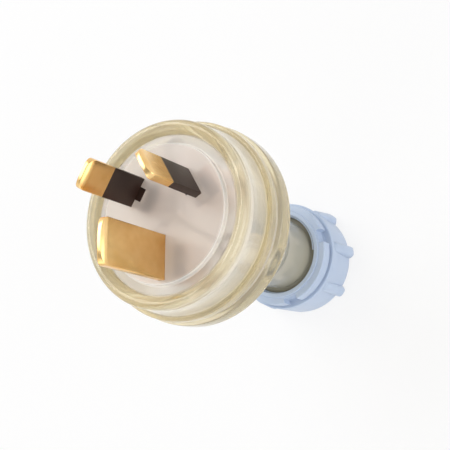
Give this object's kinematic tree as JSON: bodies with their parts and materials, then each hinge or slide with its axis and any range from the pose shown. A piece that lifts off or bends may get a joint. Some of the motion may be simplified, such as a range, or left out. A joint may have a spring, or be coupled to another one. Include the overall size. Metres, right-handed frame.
{
  "type": "rewireable mains plug",
  "caption": "Clear rewireable mains plug with flat angled pins, insulated live pins, frosted face, banded flange and a ribbed screw-on cord gland nut",
  "frame": {"origin": "centre of the gland nut's flat rear face, on the plug's axis, the face the plug stands on", "axes": "+Z along the plug's axis from the cord end to the pins; +Y from the axis towards the active and neutral pins, so that the earth pin is at -Y; +X towards the right pin seen from the front with the earth pin down"},
  "size_m": [0.0426, 0.0426, 0.0837],
  "materials": {
    "clear_shell": "clear moulded plastic with a slight yellow tint",
    "frosted_base": "frosted clear plastic",
    "brass": "plain drawn brass",
    "sleeve": "dark brown satin insulation",
    "screw_steel": "plated steel",
    "grommet_rubber": "black rubber",
    "ring_plastic": "natural nylon",
    "nut_plastic": "pale blue moulded plastic"
  },
  "bodies": {
    "plug_body": {"rear_cover": "clear_shell", "front_housing": "clear_shell", "pin_base": "frosted_base", "active_pin": "brass", "neutral_pin": "brass", "earth_pin": "brass", "active_sleeve": "sleeve", "neutral_sleeve": "sleeve", "active_terminal": "brass", "neutral_terminal": "brass", "earth_terminal": "brass", "active_terminal_screw": "screw_steel", "neutral_terminal_screw": "screw_steel", "earth_terminal_screw": "screw_steel", "case_screw_1": "screw_steel", "case_screw_2": "screw_steel", "case_screw_3": "screw_steel", "cord_grommet": "grommet_rubber"},
    "slip_ring": {"slip_ring": "ring_plastic"},
    "gland_nut": {"gland_nut": "nut_plastic"}
  },
  "joints": [
    {"name": "ring_slide", "type": "slide", "parent": "plug_body", "child": "slip_ring", "axis": [0, 0, -1], "range_m": [0, 0.0061]},
    {"name": "nut_turn", "type": "hinge", "parent": "slip_ring", "child": "gland_nut", "pos_m": [0, 0, 0.0083], "axis": [0, 0, -1], "range_deg": [0, 1440]}
  ],
  "couplings": [
    {"joint": "ring_slide", "follows": "nut_turn", "m_per_rad": 0.00023873}
  ]
}
